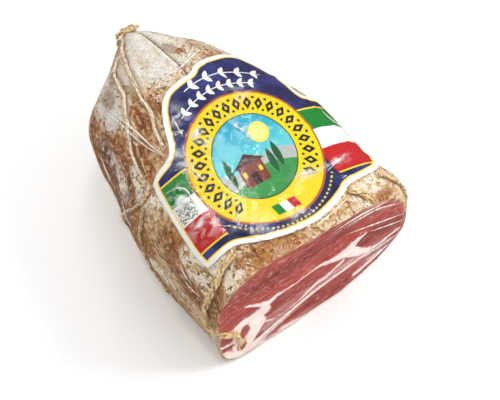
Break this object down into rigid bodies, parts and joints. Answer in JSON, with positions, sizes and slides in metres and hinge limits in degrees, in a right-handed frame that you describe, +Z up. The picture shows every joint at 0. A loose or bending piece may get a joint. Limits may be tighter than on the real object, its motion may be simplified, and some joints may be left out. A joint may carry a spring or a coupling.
{
  "type": "half coppa",
  "caption": "Half coppa, cured pork neck in its casing, cut across at one end and tied at the other, vacuum-packed in clear film with a die-cut paper label on top.",
  "frame": {"origin": "middle of the whole piece on the surface it lies on, at the bottom centre of its box", "axes": "+X along the meat from the tied tip to the cut face, +Y to the far side, +Z up"},
  "size_m": [0.1823, 0.1361, 0.1022],
  "materials": {
    "cured_meat": "mouldy natural casing over cured pork, brick-red cut face with pinkish-white fat, under clear film",
    "label_paper": "printed paper, satin, creased under clear film",
    "twine": "natural two-strand twine, pressed under film"
  },
  "bodies": {
    "root": {"coppa": "cured_meat", "label": "label_paper", "twine_wrap": "twine", "twine_top": "twine", "twine_side": "twine", "twine_hoop": "twine", "twine_low": "twine", "twine_cross": "twine", "twine_front": "twine", "twine_right": "twine", "twine_corner": "twine", "twine_back": "twine", "twine_back_hoop": "twine", "twine_back_low": "twine"}
  },
  "joints": []
}
